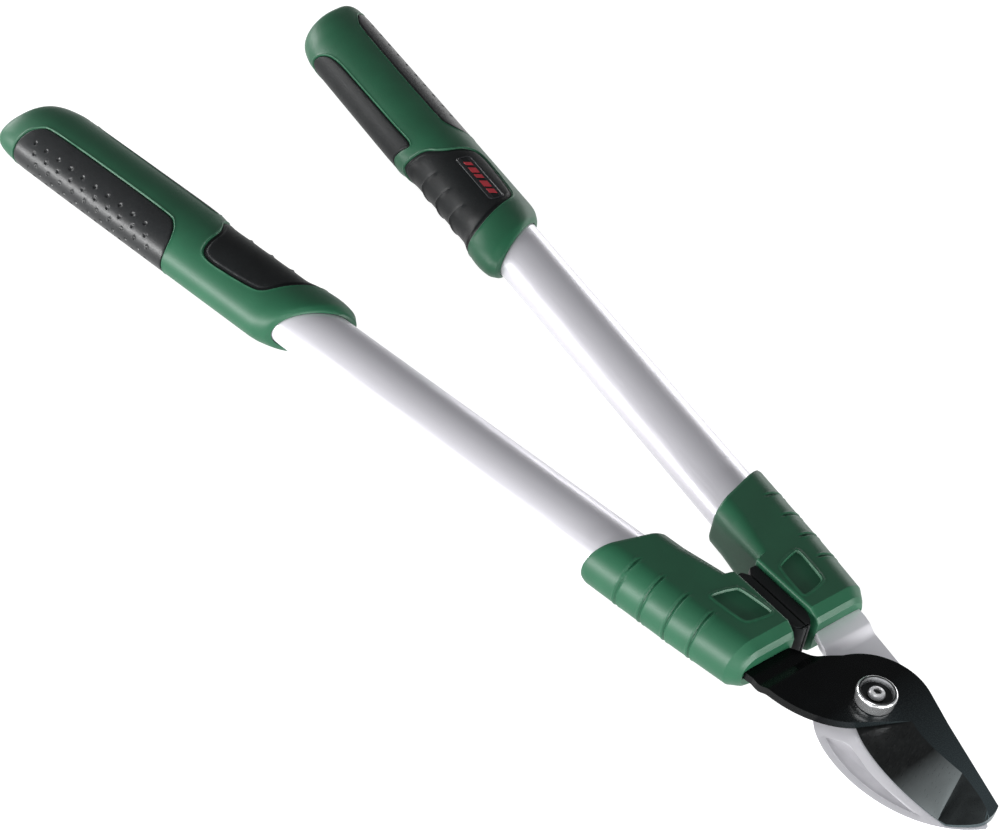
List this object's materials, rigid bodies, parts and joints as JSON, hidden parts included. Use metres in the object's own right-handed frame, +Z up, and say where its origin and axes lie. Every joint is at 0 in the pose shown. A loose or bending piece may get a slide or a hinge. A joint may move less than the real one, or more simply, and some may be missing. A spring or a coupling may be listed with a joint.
{
  "type": "bypass loppers",
  "caption": "Bypass loppers with long oval tube arms, padded grips and a curved cutting blade that slides past a hooked counter blade on a pivot bolt.",
  "frame": {"origin": "below the middle of the closed tool's box, on the plane that the grips rest on", "axes": "+X to the blade tips, +Y to the arm with the hook blade, +Z up along the pivot bolt"},
  "size_m": [0.624, 0.2432, 0.0314],
  "materials": {
    "green_plastic": "satin moulded plastic",
    "black_rubber": "soft matt rubber",
    "aluminium": "satin anodised",
    "hook_steel": "fine blasted steel",
    "coated_steel": "black low-friction coating",
    "chrome": "bright chrome",
    "zinc_steel": "zinc plated",
    "grey_nylon": "moulded nylon",
    "badge_black": "smooth glossy plastic"
  },
  "bodies": {
    "hook_arm": {"hook_blade": "hook_steel", "pivot_bushing": "zinc_steel", "pivot_bolt": "chrome", "pivot_cap": "chrome", "pivot_washer": "zinc_steel", "pivot_spring_washer": "zinc_steel", "pivot_nut": "zinc_steel", "hook_tube": "aluminium", "hook_tang_insert": "grey_nylon", "hook_rivet_front": "zinc_steel", "hook_rivet_rear": "zinc_steel", "hook_sleeve": "green_plastic", "hook_bumper": "black_rubber", "hook_grip_shell": "green_plastic", "hook_grip_outer_pad": "black_rubber", "hook_grip_inner_pad": "black_rubber", "hook_grip_stop_pad": "black_rubber", "hook_grip_badge": "badge_black"},
    "blade_arm": {"cutting_blade": "coated_steel", "blade_tube": "aluminium", "blade_tang_insert": "grey_nylon", "blade_rivet_front": "zinc_steel", "blade_rivet_rear": "zinc_steel", "blade_sleeve": "green_plastic", "blade_bumper": "black_rubber", "blade_grip_shell": "green_plastic", "blade_grip_outer_pad": "black_rubber", "blade_grip_inner_pad": "black_rubber", "blade_grip_stop_pad": "black_rubber"}
  },
  "joints": [
    {"name": "pivot", "type": "hinge", "parent": "hook_arm", "child": "blade_arm", "pos_m": [0.23609, 0, 0.0156], "axis": [0, 0, 1], "range_deg": [0, 50]}
  ]
}
